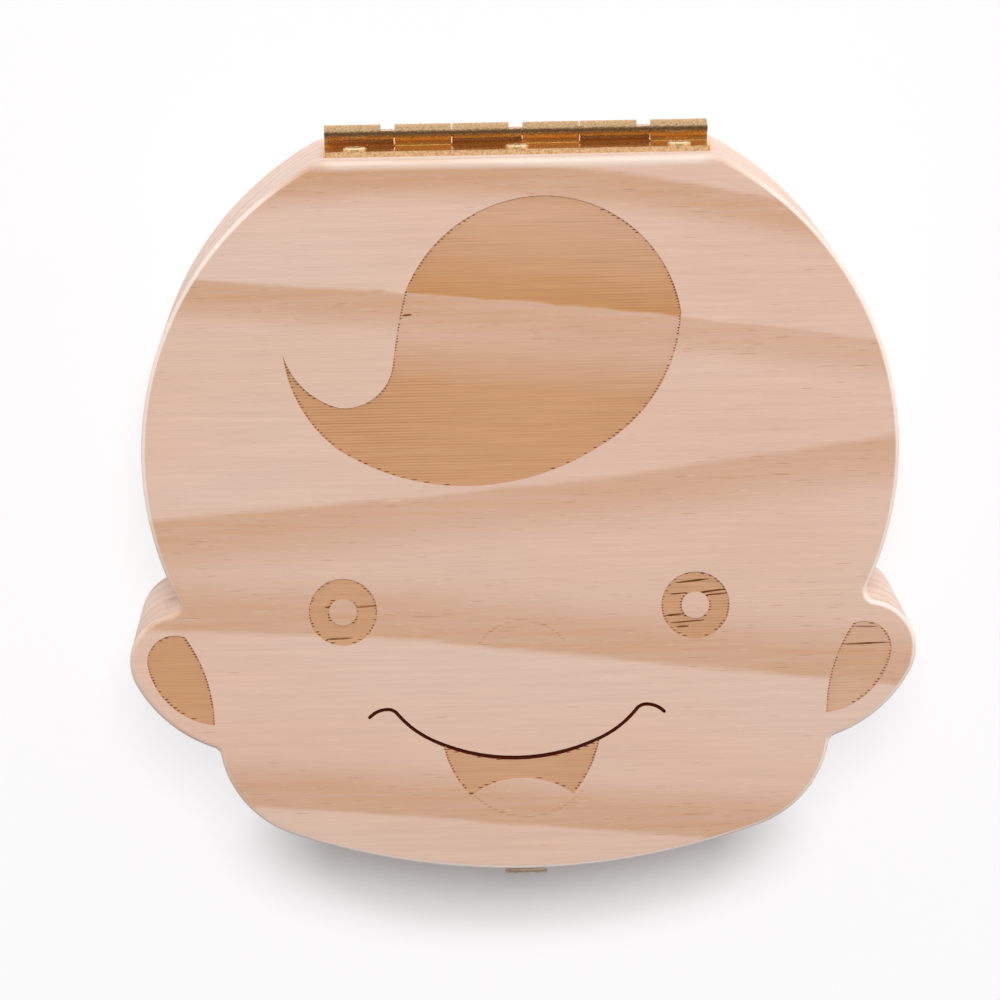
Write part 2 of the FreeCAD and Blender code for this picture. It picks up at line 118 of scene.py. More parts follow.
lidPine = {
    "pale": "#DCBEAC",         # earlywood of sanded, unvarnished pine
    "warm": "#DBB8A4",         # broad warmer patches
    "late": "#C89B79",         # latewood
    "canal": "#96694F",        # resin canals, short dark lines
    "fleck": "#EAD5C6",        # short pale fibres
    "wall": "#F0DFD4",         # walls cut along the fibres are paler, and painted lighter as if lit
    "rim": "#F6E8DE",          # eased edges, rubbed paler, with a painted highlight
    "face": lidTop,            # height of the face that the rings are set out on, mm
    "pithY": -5.0,             # pith line, beside and below the face, mm
    "pithDepth": 150.0,
    "ringSpacing": 4.7,
    "wander": 1.1,             # slow waviness of the rings, mm on the face
    "ripple": 0.7,             # flames along the edge of a ring
    "tooth": 0.3,
    "skin": 0.5,               # floors less than this under the face show the face's own rings, mm
    "ringRise": (0.4, 0.95, 0.8),     # rings inside the board darken from and to a share of a ring, strength
    "ringDepth": -60.0,        # and start that much inside the innermost ring of the face, in square mm
    "beamHeld": 1.0,           # a band holds off the beam up to that far in, then less, mm
    "beamNear": (-13.0, -0.5),     # soft wood chars more from and to that far short of a band, mm
    "streaks": (0.7, 1.25),    # least and most latewood from strand to strand
    "noiseSpan": (0.3, 0.7),   # part of a noise that shows
    "shades": {"strand": (0.955, 1.03), "fibre": (0.972, 1.024)},     # darkest and lightest
    "patchSpan": (0.35, 0.7),
    # canals and flecks: part of their noise, strength; canals crowd by latewood and from x to x, mm
    "canals": (0.73, 0.83, 0.55),
    "flecks": (0.68, 0.80, 0.45),
    "crowdLate": (0.3, 0.05),
    "crowdRight": (5.0, 45.0, 0.015),
    # walls and eased edges, each partly painted light: how far a face looks up or down, strength
    "walls": (0.2, 0.75, 0.42),
    "rims": (0.08, 0.5, 0.65),
    "rimEnd": (0.93, 0.995),
    "rimHinge": (49.0, 54.5),           # no paler by the hinge, from y to y
    "rimEar": (-12.0, 2.0, 0.2),        # hardly paler under these y at the left ear
    "rimEarSide": (-50.0, -30.0),       # which ends at these x
    "rimChin": (-46.0, -54.0, 0.35),    # palest along the chin
    # latewood bands on the face, mm: the edge is at + slope x + curve x^2; the band is dark on one side of
    # it, over its edge width, keeps its strength (left, right) up to the hold and is gone at the fade
    "bands": [
        {"at": 54.2, "slope": -0.071, "curve": -0.0021, "side": -1, "edge": 1.2, "hold": 2.2, "fade": 7.2,
         "strength": (0.98, 0.70)},
        {"at": 33.4, "slope": -0.105, "curve": -0.0004, "side": -1, "edge": 0.7, "hold": 2.6, "fade": 7.6,
         "strength": (0.66, 0.50), "resist": (1.0, 13.0, -90.0, -80.0)},
        {"at": 33.4, "slope": -0.105, "curve": -0.0004, "side": -1, "edge": 3.0, "hold": 14.0, "fade": 24.0,
         "strength": (0.15, 0.0)},
        {"at": 5.2, "slope": 0.097, "curve": 0.0005, "side": -1, "edge": 1.2, "hold": 1.8, "fade": 10.5,
         "strength": (0.64, 0.60)},
        {"at": -20.2, "slope": -0.101, "curve": -0.0003, "side": 1, "edge": 1.3, "hold": 3.0, "fade": 10.5,
         "strength": (0.53, 0.56), "resist": (0.55, 12.0, 38.0, 46.0)},
        {"at": -20.2, "slope": -0.101, "curve": -0.0003, "side": 1, "edge": 1.3, "hold": 10.0, "fade": 23.0,
         "strength": (0.19, 0.17)},
        {"at": -47.6, "slope": -0.082, "curve": 0.0, "side": 1, "edge": 0.9, "hold": 2.6, "fade": 9.5,
         "strength": (0.68, 0.68)},
        {"at": -34.0, "slope": -0.082, "curve": 0.0, "side": -1, "edge": 8.0, "hold": 40.0, "fade": 50.0,
         "strength": (0.07, 0.07)},
    ],
    # noise layers: cell length along the grain and width across it (mm), shift, detail
    "layers": {
        "wander": (60.0, 26.0, 3.0, 1.0),
        "ripple": (15.0, 4.0, 7.0, 2.0),
        "tooth": (5.0, 1.2, 13.0, 2.0),
        "patch": (70.0, 30.0, 11.0, 2.0),
        "strand": (24.0, 1.0, 17.0, 2.0),
        "fibre": (9.0, 0.30, 19.0, 2.0),
        "canal": (4.6, 0.21, 23.0, 1.0),
        "fleck": (3.5, 0.24, 31.0, 1.0),
        "passes": (14.0, 0.6, 41.0, 1.0),
    },
}
basePine = dict(lidPine, face=baseTop, pithY=14.0, pithDepth=70.0, ringSpacing=5.2, bands=[])
boardHalf = 40.0               # strengths of a band are for x at minus and plus this, mm


def pineRings(tree, look, x, y, z, layers):
    # ring radius r = sqrt((y - pith)^2 + (z - pith)^2)
    # on the face a ring lies sqrt(r^2 - depth^2) from the pith
    wave = 0.0
    for name in ("wander", "ripple", "tooth"):
        part = addNode(tree, ramp, {0: layers[name], 3: -look[name], 4: look[name]})
        wave = addNode(tree, calc, {0: part, 1: wave}, operation="ADD")
    out = addNode(tree, calc, {0: y, 1: look["pithY"]}, operation="SUBTRACT")
    out = addNode(tree, calc, {0: out, 1: wave}, operation="ADD")
    square = addNode(tree, calc, {0: out, 1: out}, operation="MULTIPLY")
    deep = addNode(tree, calc, {0: z, 1: look["skin"]}, operation="ADD")
    deep = addNode(tree, calc, {0: deep, 1: look["face"]}, operation="MINIMUM")
    deep = addNode(tree, calc, {0: deep, 1: look["face"] - look["pithDepth"]}, operation="SUBTRACT")
    square = addNode(tree, calc, {0: deep, 1: deep, 2: square}, operation="MULTIPLY_ADD")
    onFace = addNode(tree, calc, {0: square, 1: look["pithDepth"] ** 2}, operation="SUBTRACT")
    line = addNode(tree, calc, {0: onFace, 1: 0.0}, operation="MAXIMUM")
    line = addNode(tree, calc, {0: line}, operation="SQRT")
    side = addNode(tree, calc, {0: out}, operation="SIGN")
    line = addNode(tree, calc, {0: line, 1: side, 2: look["pithY"]}, operation="MULTIPLY_ADD")

    # rings that never reach the face: a saw tooth over the radius, darkest at its outer end
    turn = addNode(tree, calc, {0: square}, operation="SQRT")
    turn = addNode(tree, calc, {0: turn, 1: look["ringSpacing"]}, operation="DIVIDE")
    turn = addNode(tree, calc, {0: turn}, operation="FRACT")
    first, last, most = look["ringRise"]
    rise = addNode(tree, ramp, {0: turn, 1: first, 2: last, 3: 0.0, 4: most}, interpolation_type="SMOOTHSTEP")
    fall = addNode(tree, ramp, {0: turn, 1: last, 2: 1.0, 3: 1.0, 4: 0.0})
    late = addNode(tree, calc, {0: rise, 1: fall}, operation="MULTIPLY")
    if look["bands"]:
        inner = addNode(tree, ramp, {0: onFace, 1: look["ringDepth"], 2: 0.0, 3: 1.0, 4: 0.0})
        late = addNode(tree, calc, {0: late, 1: inner}, operation="MULTIPLY")
    hold, ahead = 0.0, 0.0
    for band in look["bands"]:
        # signed distance into the band's dark side
        into = addNode(tree, calc, {0: x, 1: band["curve"], 2: band["slope"]}, operation="MULTIPLY_ADD")
        into = addNode(tree, calc, {0: x, 1: into, 2: band["at"]}, operation="MULTIPLY_ADD")
        into = addNode(tree, calc, {0: line, 1: into}, operation="SUBTRACT")
        into = addNode(tree, calc, {0: into, 1: float(band["side"])}, operation="MULTIPLY")
        half = band["edge"] / 2
        edge = addNode(tree, ramp, {0: into, 1: -half, 2: half}, interpolation_type="SMOOTHSTEP")
        fade = addNode(tree, ramp, {0: into, 1: band["hold"], 2: band["fade"], 3: 1.0, 4: 0.0},
                       interpolation_type="SMOOTHSTEP")
        left, right = band["strength"]
        strength = addNode(tree, ramp, {0: x, 1: -boardHalf, 2: boardHalf, 3: left, 4: right})
        dark = addNode(tree, calc, {0: edge, 1: fade}, operation="MULTIPLY")
        late = addNode(tree, calc, {0: dark, 1: strength, 2: late}, operation="MULTIPLY_ADD")
        if "resist" in band:
            # how much the band holds off the beam, and the soft wood short of its edge, which chars more
            amount, reach, fromX, toX = band["resist"]
            held = addNode(tree, ramp, {0: into, 1: look["beamHeld"], 2: reach, 3: amount, 4: 0.0})
            there = addNode(tree, ramp, {0: x, 1: fromX, 2: toX})
            for mask in (edge, there):
                held = addNode(tree, calc, {0: held, 1: mask}, operation="MULTIPLY")
            hold = addNode(tree, calc, {0: held, 1: hold}, operation="MAXIMUM")
            first, last = look["beamNear"]
            near = addNode(tree, ramp, {0: into, 1: first, 2: last})
            short = addNode(tree, calc, {0: into, 1: 0.0}, operation="LESS_THAN")
            for mask in (short, there):
                near = addNode(tree, calc, {0: near, 1: mask}, operation="MULTIPLY")
            ahead = addNode(tree, calc, {0: near, 1: ahead}, operation="MAXIMUM")
    (low, high), (least, most) = look["noiseSpan"], look["streaks"]
    streaky = addNode(tree, ramp, {0: layers["strand"], 1: low, 2: high, 3: least, 4: most})
    return addNode(tree, calc, {0: late, 1: streaky}, operation="MULTIPLY", use_clamp=True), hold, ahead


def startPine(name, look):
    # places in mm, the way a face looks, grain noise, latewood and the colour of the bare wood
    material, tree, shader = newMaterial(name)
    where = addNode(tree, "ShaderNodeTexCoord")
    place = addNode(tree, "ShaderNodeVectorMath", {0: where.outputs["Object"], 3: 1 / mm}, operation="SCALE")
    x, y, z = addNode(tree, "ShaderNodeSeparateXYZ", {0: place}).outputs
    facing = addNode(tree, "ShaderNodeSeparateXYZ", {0: where.outputs["Normal"]}).outputs[2]
    layers = grainNoise(tree, place, look["layers"])
    late, hold, ahead = pineRings(tree, look, x, y, z, layers)
    low, high = look["patchSpan"]
    patch = addNode(tree, ramp, {0: layers["patch"], 1: low, 2: high})
    color = layTints(tree, hexColor(look["pale"]), [(patch, look["warm"]), (late, look["late"])])
    low, high = look["noiseSpan"]
    for layer, (darkest, lightest) in look["shades"].items():
        shade = addNode(tree, ramp, {0: layers[layer], 1: low, 2: high, 3: darkest, 4: lightest})
        color = addNode(tree, "ShaderNodeVectorMath", {0: color, 3: shade}, operation="SCALE").outputs[0]
    # resin canals crowd where there is latewood, and on the right half
    enough, most = look["crowdLate"]
    crowd = addNode(tree, ramp, {0: late, 1: 0.0, 2: enough, 3: 0.0, 4: most})
    low, high, most = look["crowdRight"]
    crowdRight = addNode(tree, ramp, {0: x, 1: low, 2: high, 3: 0.0, 4: most})
    crowd = addNode(tree, calc, {0: crowd, 1: crowdRight}, operation="ADD")
    canal = addNode(tree, calc, {0: layers["canal"], 1: crowd}, operation="ADD")
    low, high, most = look["canals"]
    canal = addNode(tree, ramp, {0: canal, 1: low, 2: high, 3: 0.0, 4: most})
    low, high, most = look["flecks"]
    fleck = addNode(tree, ramp, {0: layers["fleck"], 1: low, 2: high, 3: 0.0, 4: most})
    level = addNode(tree, calc, {0: facing}, operation="ABSOLUTE")
    # upright faces: paler wood cut along the fibres, plus painted light that brightens them
    low, high, most = look["walls"]
    wall = addNode(tree, ramp, {0: level, 1: low, 2: high, 3: most, 4: 0.0})
    # painted highlight on the eased edge: palest along the chin, faint at the left ear, none by the hinge
    low, high = look["rimHinge"]
    palest = addNode(tree, ramp, {0: y, 1: low, 2: high, 3: look["rims"][2], 4: 0.0})
    low, high, least = look["rimEar"]
    least = addNode(tree, ramp, {0: y, 1: low, 2: high, 3: least, 4: 1.0})
    low, high = look["rimEarSide"]
    leftward = addNode(tree, ramp, {0: x, 1: low, 2: high, 3: least, 4: 1.0})
    low, high, most = look["rimChin"]
    chin = addNode(tree, ramp, {0: y, 1: low, 2: high, 3: 0.0, 4: most})
    palest = addNode(tree, calc, {0: palest, 1: leftward, 2: chin}, operation="MULTIPLY_ADD")
    low, high = look["rims"][:2]
    rim = addNode(tree, ramp, {0: level, 1: low, 2: high, 3: 0.0, 4: palest}, interpolation_type="SMOOTHSTEP")
    low, high = look["rimEnd"]
    flat = addNode(tree, ramp, {0: level, 1: low, 2: high, 3: 1.0, 4: 0.0})
    rim = addNode(tree, calc, {0: rim, 1: flat}, operation="MULTIPLY")
    color = layTints(tree, color, [
        (canal, look["canal"]), (fleck, look["fleck"]), (wall, look["wall"]), (rim, look["rim"])])
    return {"material": material, "tree": tree, "shader": shader, "x": x, "y": y, "z": z, "facing": facing,
            "layers": layers, "hold": hold, "ahead": ahead, "color": color}


matt = {"rough": (0.55, 0.75), "gloss": 0.2, "bump": 0.3, "fibreDepth": 0.05}     # depth in mm


def finishPine(wood, color, height):
    # sanded and matt: almost no gloss, fibres a few hundredths of a millimetre deep
    tree, shader = wood["tree"], wood["shader"]
    bump = addNode(tree, "ShaderNodeBump", {
        "Height": height, "Strength": matt["bump"], "Distance": matt["fibreDepth"] * mm})
    least, most = matt["rough"]
    rough = addNode(tree, ramp, {0: wood["layers"]["fibre"], 3: least, 4: most})
    tree.links.new(color, shader.inputs["Base Color"])
    tree.links.new(rough.outputs[0], shader.inputs["Roughness"])
    tree.links.new(bump.outputs[0], shader.inputs["Normal"])
    shader.inputs["Specular IOR Level"].default_value = matt["gloss"]
    return wood["material"]


# the engraved face

engraving = {
    "depth": 0.2,              # engraved fields under the face, mm
    "smileDepth": 0.9,
    "pitch": 0.44,             # from one pass of the beam to the next, drawn coarser so that it shows
    "tint": "#C99A74",         # scorched earlywood
    "scorch": "#C38F60",       # where it chars more, beside latewood
    "line": "#A9733F",         # middle of a pass
    "edge": "#B58457",         # upright sides of the fields
    "burnt": "#5C2012",        # the smile, cut deepest
    "strength": 0.88,          # of the tint, and what is added to it along an axis between two places, mm
    "more": [("y", -5.0, 10.0, 0.12), ("x", -40.0, -48.0, 0.12), ("x", 40.0, 48.0, -0.35)],
    "short": (0.3, 0.7, 28.0),     # less tint in soft wood far from latewood: how much, how far, above y
    "grainy": (0.75, 0.2, -0.1),   # charring from strand to strand: up to that noise, most and least
    "char": (0.6, 1.0, 0.8),   # charring beside latewood: from and to a nearness, strength
    "passWidth": (0.05, 0.3),  # a pass is darkest within, and gone from, that share of the pitch
    "aside": (4.0, 22.0, 0.35),    # passes show less near the middle, from x to x
    "uneven": (0.1, 0.75),     # least and most of a pass along it
    "calm": (-12.0, -20.0, 0.7),   # the left eye is burnt more evenly, from x to x, under y = 0
    "shade": (0.94, 1.05),     # darkest and lightest fibre of the fields
    "passDepth": -0.5,         # of a pass, against the height of the fibres
    "smileBox": (26.0, -33.0, 9.0),   # half width, middle and half height of the smile's surroundings, mm
    # faint arcs drawn on the face: middle x and y, radius, lowest and highest y, mm
    "arcs": {"nose": (-0.25, -23.3, 7.77, -19.1, -14.0), "tongue": (0.2, -35.3, 11.2, -48.0, -42.4)},
    "arcWidth": 0.16,
    "arcTint": "#9C6A42",
    # painted highlight along the edge by the hinge, on faces that look up
    "hingeHighlight": (53.4, 54.1, 31.0, 27.0, 0.5),   # edge by the hinge: from and to y, none and full at x, most
    "hingeHighlightUp": (0.3, 0.8),    # and how far it looks up
}


levelFace, wallFace = 0.9, 0.3     # a face that looks up more than this is level, less than that is a wall
slack = 0.02                       # mm, for telling levels apart


def lidMaterial():
    # engraved fields are told from the face by their level
    look = engraving
    wood = startPine("pine_sanded_laser_engraved", lidPine)
    tree, x, y, z, facing = [wood[key] for key in ("tree", "x", "y", "z", "facing")]
    layers = wood["layers"]
    floor = lidTop - look["depth"]
    level = addNode(tree, calc, {0: z, 1: floor, 2: look["depth"] / 4}, operation="COMPARE")
    up = addNode(tree, calc, {0: facing, 1: levelFace}, operation="GREATER_THAN")
    field = addNode(tree, calc, {0: level, 1: up}, operation="MULTIPLY")
    # latewood resists the beam, the soft wood beside it chars more
    tinted = look["strength"]
    for axis, low, high, extra in look["more"]:
        more = addNode(tree, ramp, {0: wood[axis], 1: low, 2: high, 3: 0.0, 4: extra})
        tinted = addNode(tree, calc, {0: more, 1: tinted}, operation="ADD")
    less, far, low = look["short"]
    above = addNode(tree, calc, {0: y, 1: low}, operation="GREATER_THAN")
    weak = addNode(tree, ramp, {0: wood["ahead"], 1: 0.0, 2: far, 3: less, 4: 0.0})
    weak = addNode(tree, calc, {0: weak, 1: above}, operation="MULTIPLY")
    tinted = addNode(tree, calc, {0: tinted, 1: weak}, operation="SUBTRACT", use_clamp=True)
    taken = addNode(tree, calc, {0: 1.0, 1: wood["hold"]}, operation="SUBTRACT")
    for mask in (taken, field):
        tinted = addNode(tree, calc, {0: tinted, 1: mask}, operation="MULTIPLY")
    low, high = lidPine["noiseSpan"]
    last, most, least = look["grainy"]
    grainy = addNode(tree, ramp, {0: layers["strand"], 1: low, 2: last, 3: most, 4: least})
    first, last, most = look["char"]
    char = addNode(tree, ramp, {0: wood["ahead"], 1: first, 2: last, 3: 0.0, 4: most})
    char = addNode(tree, calc, {0: char, 1: grainy}, operation="ADD", use_clamp=True)
    # passes of the beam run along x; they show most towards the sides
    row = addNode(tree, calc, {0: y, 1: look["pitch"]}, operation="DIVIDE")
    row = addNode(tree, calc, {0: row, 1: 0.5}, operation="ADD")
    row = addNode(tree, calc, {0: row}, operation="FRACT")
    row = addNode(tree, calc, {0: row, 1: 0.5}, operation="SUBTRACT")
    row = addNode(tree, calc, {0: row}, operation="ABSOLUTE")
    first, last = look["passWidth"]
    row = addNode(tree, ramp, {0: row, 1: first, 2: last, 3: 1.0, 4: 0.0})
    offset = addNode(tree, calc, {0: x}, operation="ABSOLUTE")
    first, last, least = look["aside"]
    aside = addNode(tree, ramp, {0: offset, 1: first, 2: last, 3: least, 4: 1.0})
    least, most = look["uneven"]
    uneven = addNode(tree, ramp, {0: layers["passes"], 1: low, 2: high, 3: least, 4: most})
    # the left eye is burnt more evenly than the rest
    first, last, most = look["calm"]
    calm = addNode(tree, ramp, {0: x, 1: first, 2: last, 3: 0.0, 4: most})
    under = addNode(tree, calc, {0: y, 1: 0.0}, operation="LESS_THAN")
    calm = addNode(tree, calc, {0: calm, 1: under}, operation="MULTIPLY")
    calm = addNode(tree, calc, {0: 1.0, 1: calm}, operation="SUBTRACT")
    lines = row
    for mask in (uneven, aside, calm):
        lines = addNode(tree, calc, {0: lines, 1: mask}, operation="MULTIPLY")
    scorch = layTints(tree, hexColor(look["tint"]), [(char, look["scorch"]), (lines, look["line"])])
    darkest, lightest = look["shade"]
    shade = addNode(tree, ramp, {0: layers["fibre"], 1: low, 2: high, 3: darkest, 4: lightest})
    scorch = addNode(tree, "ShaderNodeVectorMath", {0: scorch, 3: shade}, operation="SCALE").outputs[0]
    upright = addNode(tree, calc, {0: facing, 1: wallFace}, operation="LESS_THAN")
    side = addNode(tree, calc, {0: z, 1: floor - slack}, operation="GREATER_THAN")
    side = addNode(tree, calc, {0: side, 1: upright}, operation="MULTIPLY")
    # the smile is all that lies deeper than the fields near it
    halfWidth, middle, halfHeight = look["smileBox"]
    burnt = addNode(tree, calc, {0: x, 1: 0.0, 2: halfWidth}, operation="COMPARE")
    nearY = addNode(tree, calc, {0: y, 1: middle, 2: halfHeight}, operation="COMPARE")
    deeper = addNode(tree, calc, {0: z, 1: floor - slack}, operation="LESS_THAN")
    lowest = lidTop - look["smileDepth"] - look["depth"] / 2
    shallow = addNode(tree, calc, {0: z, 1: lowest}, operation="GREATER_THAN")
    for mask in (nearY, deeper, shallow):
        burnt = addNode(tree, calc, {0: burnt, 1: mask}, operation="MULTIPLY")
    marks = [(tinted, scorch), (side, look["edge"]), (burnt, look["burnt"])]
    # an arc is where the distance from its middle is its radius, broken up by the passes of the beam
    for midX, midY, radius, low, high in look["arcs"].values():
        spot = addNode(tree, "ShaderNodeCombineXYZ", {0: x, 1: y})
        away = addNode(tree, "ShaderNodeVectorMath", {0: spot, 1: (midX, midY, 0.0)}, operation="DISTANCE")
        arc = addNode(tree, calc, {0: away.outputs[1], 1: radius, 2: look["arcWidth"]}, operation="COMPARE")
        span = addNode(tree, calc, {0: y, 1: (low + high) / 2, 2: (high - low) / 2}, operation="COMPARE")
        top = addNode(tree, calc, {0: z, 1: lidTop - slack}, operation="GREATER_THAN")
        for mask in (span, top, row, uneven):
            arc = addNode(tree, calc, {0: arc, 1: mask}, operation="MULTIPLY")
        marks.append((arc, look["arcTint"]))
    # painted highlight along the edge by the hinge, in the rim's colour
    low, high, far, full, most = look["hingeHighlight"]
    hingeHighlight = addNode(tree, ramp, {0: y, 1: low, 2: high, 3: 0.0, 4: most})
    inside = addNode(tree, ramp, {0: offset, 1: far, 2: full})
    low, high = look["hingeHighlightUp"]
    upward = addNode(tree, ramp, {0: facing, 1: low, 2: high})
    for mask in (inside, upward):
        hingeHighlight = addNode(tree, calc, {0: hingeHighlight, 1: mask}, operation="MULTIPLY")
    marks.append((hingeHighlight, lidPine["rim"]))
    color = layTints(tree, wood["color"], marks)
    fibre = layers["fibre"]
    height = addNode(tree, calc, {0: lines, 1: look["passDepth"], 2: fibre}, operation="MULTIPLY_ADD")
    return finishPine(wood, color, height)


milling = {
    "below": 1.0,              # floors lower than this under the top of the base are milled, mm
    "pitch": 0.9,              # from one row of the cutter to the next
    "rowSpan": (0.15, 0.5),    # darkens from and to that share of the pitch beside a row
    "row": "#B98F70",
    "strength": (0.2, 0.4),    # least and most along a row
    "depth": -1.0,             # between rows, against the height of the fibres
}


def baseMaterial(look):
    # the floors of the pockets show the rows of the cutter, darkest between two rows
    wood = startPine("pine_sanded_milled", basePine)
    tree = wood["tree"]
    row = addNode(tree, calc, {0: wood["y"], 1: look["pitch"]}, operation="DIVIDE")
    row = addNode(tree, calc, {0: row}, operation="FRACT")
    row = addNode(tree, calc, {0: row, 1: 0.5}, operation="SUBTRACT")
    row = addNode(tree, calc, {0: row}, operation="ABSOLUTE")
    first, last = look["rowSpan"]
    row = addNode(tree, ramp, {0: row, 1: first, 2: last})
    (low, high), (least, most) = basePine["noiseSpan"], look["strength"]
    uneven = addNode(tree, ramp, {0: wood["layers"]["passes"], 1: low, 2: high, 3: least, 4: most})
    deep = addNode(tree, calc, {0: wood["z"], 1: baseTop - look["below"]}, operation="LESS_THAN")
    up = addNode(tree, calc, {0: wood["facing"], 1: levelFace}, operation="GREATER_THAN")
    for mask in (uneven, deep, up):
        row = addNode(tree, calc, {0: row, 1: mask}, operation="MULTIPLY")
    color = layTints(tree, wood["color"], [(row, look["row"])])
    fibre = wood["layers"]["fibre"]
    height = addNode(tree, calc, {0: row, 1: look["depth"], 2: fibre}, operation="MULTIPLY_ADD")
    return finishPine(wood, color, height)


dress(["lid_board"], lidMaterial())
dress(["base_block"], baseMaterial(milling))
print("pine dressed")


# burn marks: ends of the beam's passes along the edges of the fields, and charred fibres in them

burns = {
    "thick": 0.02,             # mm, a skin on the floor of the fields
    "dashWidth": 0.21,
    "dashLength": (0.28, 0.9),     # shortest, on upright edges, and longest, on level ones
    "stretch": 0.55,           # a mark grows by that share of the pitch for each mm that its edge leans
    "vary": (0.7, 0.5),        # shortest mark as a share of its length, and what is added to it at random
    "keep": (0.85, 0.6),       # share of the passes that leave a mark, on upright and level edges
    "seed": 7,
    "stations": (3, 9),        # along a mark and along a fibre
    "thinnest": 0.25,          # ends of a mark, as a share of its width
    "light": "#9A683E",
    "dark": "#5A311C",
    "patch": 4.0,              # mm
    "patchSpan": (0.35, 0.65),
    "patchDetail": 3.0,
    "rough": 0.8,
    "gloss": 0.15,
    # charred fibres: start x and y, end x and y, width, mm
    "fibres": [
        (23.2, -10.2, 28.3, -9.7, 0.28), (26.2, -11.9, 31.0, -11.3, 0.28), (27.8, -12.2, 31.1, -12.0, 0.24),
        (22.3, -12.0, 24.9, -11.8, 0.18), (21.6, -15.3, 24.4, -15.1, 0.28), (22.3, -16.5, 27.6, -16.1, 0.26),
        (23.2, -17.1, 25.2, -17.0, 0.30), (48.4, -20.4, 55.8, -20.2, 0.26), (50.2, -17.6, 54.0, -17.7, 0.16),
        (-25.4, -13.0, -22.1, -12.8, 0.30), (-30.0, -17.9, -26.0, -17.8, 0.28),
        (-30.1, -12.9, -29.4, -13.0, 0.22), (-17.5, 31.7, -16.0, 31.8, 0.28),
    ],
}


def fieldEdges():
    # edges that only one triangle of the engraved floors has, each with its floor on the left
    data = nodes["lid_board"].data
    data.calc_loop_triangles()
    corners = np.empty(len(data.loop_triangles) * 3, np.int32)
    places = np.empty(len(data.vertices) * 3, np.float32)
    data.loop_triangles.foreach_get("vertices", corners)
    data.vertices.foreach_get("co", places)
    triangles = places.reshape(-1, 3)[corners.reshape(-1, 3)] / mm
    onFloor = np.all(np.abs(triangles[:, :, 2] - lidTop + engraving["depth"]) < slack, axis=1)
    points, index = np.unique(triangles[onFloor, :, :2].reshape(-1, 2).round(3), axis=0, return_inverse=True)
    index = index.reshape(-1, 3)
    edges = np.concatenate([index[:, [0, 1]], index[:, [1, 2]], index[:, [2, 0]]])
    both = edges.min(1) * len(points) + edges.max(1)
    first, count = np.unique(both, return_index=True, return_counts=True)[1:]
    return points[edges[first[count == 1]]]


def passEnds(edges, look, pitch):
    # where the lines y = k * pitch cross the edges; a mark runs inwards from there, longer on level edges
    start, run = edges[:, 0], edges[:, 1] - edges[:, 0]
    first = np.ceil(edges[:, :, 1].min(1) / pitch)
    count = np.maximum(np.floor(edges[:, :, 1].max(1) / pitch) - first + 1, 0).astype(int)
    which = np.repeat(np.arange(len(edges)), count)
    step = np.arange(count.sum()) - np.repeat(np.cumsum(count) - count, count)
    y = (first[which] + step) * pitch
    lean = run[which, 0] / run[which, 1]
    x = start[which, 0] + (y - start[which, 1]) * lean
    shortest, longest = look["dashLength"]
    length = np.clip(shortest + look["stretch"] * pitch * np.abs(lean), shortest, longest)
    level = (length - shortest) / (longest - shortest)
    draw = np.random.default_rng(look["seed"]).random((2, len(y)))
    upright, flat = look["keep"]
    kept = draw[0] < upright + (flat - upright) * level
    least, more = look["vary"]
    inward = -np.sign(run[which, 1]) * length * (least + more * draw[1])
    ends = np.stack([np.stack([x, y], 1), np.stack([x + inward, y], 1)], 1)
    return ends[kept]


def burnStrips(ends, width, stations, floor, look):
    # a thin bar from end to end of each mark: width times (1 - (2 s - 1)^4) along s from 0 to 1
    along = np.linspace(0, 1, stations)
    half = np.asarray(width)[:, None] / 2 * np.maximum(1 - (2 * along - 1) ** 4, look["thinnest"])
    run = ends[:, 1] - ends[:, 0]
    middle = ends[:, None, 0] + run[:, None] * along[None, :, None]
    across = np.stack([-run[:, 1], run[:, 0]], 1) / np.linalg.norm(run, axis=1)[:, None]
    across = across[:, None] * half[..., None]
    rings = np.zeros((len(ends), stations, 4, 3))
    for corner, (side, rise) in enumerate(((-1, 0), (1, 0), (1, 1), (-1, 1))):
        rings[:, :, corner, :2] = middle + side * across
        rings[:, :, corner, 2] = floor + rise * look["thick"]
    flip = run[:, 0] < 0
    rings[flip] = rings[flip][:, ::-1]
    ring = np.arange(4)
    lower = np.arange(stations - 1)[:, None] * 4 + ring
    ahead = np.roll(ring, -1)
    sides = np.stack([lower, np.arange(stations - 1)[:, None] * 4 + ahead,
                      np.arange(1, stations)[:, None] * 4 + ahead, lower + 4], 2).reshape(-1, 4)
    faces = np.concatenate([sides, [ring[::-1]], [ring + 4 * (stations - 1)]])
    faces = (faces[None] + (np.arange(len(ends)) * stations * 4)[:, None, None]).reshape(-1, 4)
    return rings.reshape(-1, 3), faces


def charMaterial(look):
    # charred pine: brown to near black along the fibres
    material, tree, shader = newMaterial("pine_charred")
    where = addNode(tree, "ShaderNodeTexCoord").outputs["Object"]
    scale = 1 / (look["patch"] * mm)
    patch = addNode(tree, "ShaderNodeTexNoise", {
        "Vector": where, "Scale": scale, "Detail": look["patchDetail"]})
    low, high = look["patchSpan"]
    patch = addNode(tree, ramp, {0: patch, 1: low, 2: high})
    color = layTints(tree, hexColor(look["light"]), [(patch, look["dark"])])
    tree.links.new(color, shader.inputs["Base Color"])
    shader.inputs["Roughness"].default_value = look["rough"]
    shader.inputs["Specular IOR Level"].default_value = look["gloss"]
    return material


